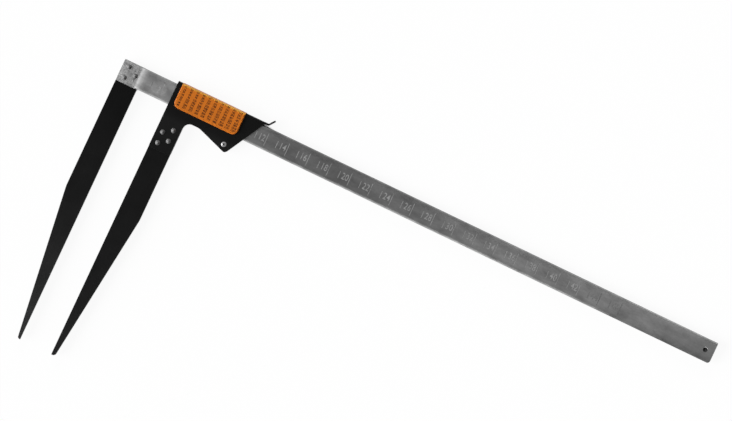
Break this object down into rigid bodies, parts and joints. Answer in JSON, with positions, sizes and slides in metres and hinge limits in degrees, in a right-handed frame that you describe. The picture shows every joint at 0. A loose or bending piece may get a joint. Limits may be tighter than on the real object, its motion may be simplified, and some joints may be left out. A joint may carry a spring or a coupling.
{
  "type": "log caliper",
  "caption": "Flat steel log caliper with a graduated beam, a riveted fixed jaw and a sliding jaw on a folded sheet slider with a plastic grip, for reading log diameters.",
  "frame": {"origin": "middle of the base of the caliper's box, as it lies on its back on a table", "axes": "+X along the beam from the fixed jaw to the free end, -Y along the jaws to their tips, +Z out of the graduated face"},
  "size_m": [0.5698, 0.2661, 0.0103],
  "materials": {
    "beam_steel": "dull drawn bar",
    "black_coat": "satin coat",
    "rivet_steel": "dull zinc",
    "nylon": "matte",
    "grip_plastic": "satin",
    "spring_steel": "bright"
  },
  "bodies": {
    "beam": {"beam": "beam_steel", "fixed_jaw": "black_coat", "fixed_jaw_rivet_1": "rivet_steel", "fixed_jaw_rivet_2": "rivet_steel", "fixed_jaw_rivet_3": "rivet_steel"},
    "slider": {"slider_body": "black_coat", "sliding_jaw": "black_coat", "sliding_jaw_rivet_1": "rivet_steel", "sliding_jaw_rivet_2": "rivet_steel", "sliding_jaw_rivet_3": "rivet_steel", "sliding_jaw_rivet_4": "rivet_steel", "lobe_eyelet": "rivet_steel", "guide_block": "nylon", "grip": "grip_plastic", "friction_spring": "spring_steel"}
  },
  "joints": [
    {"name": "slider_travel", "type": "slide", "parent": "beam", "child": "slider", "axis": [1, 0, 0], "range_m": [-0.0299, 0.43]}
  ]
}
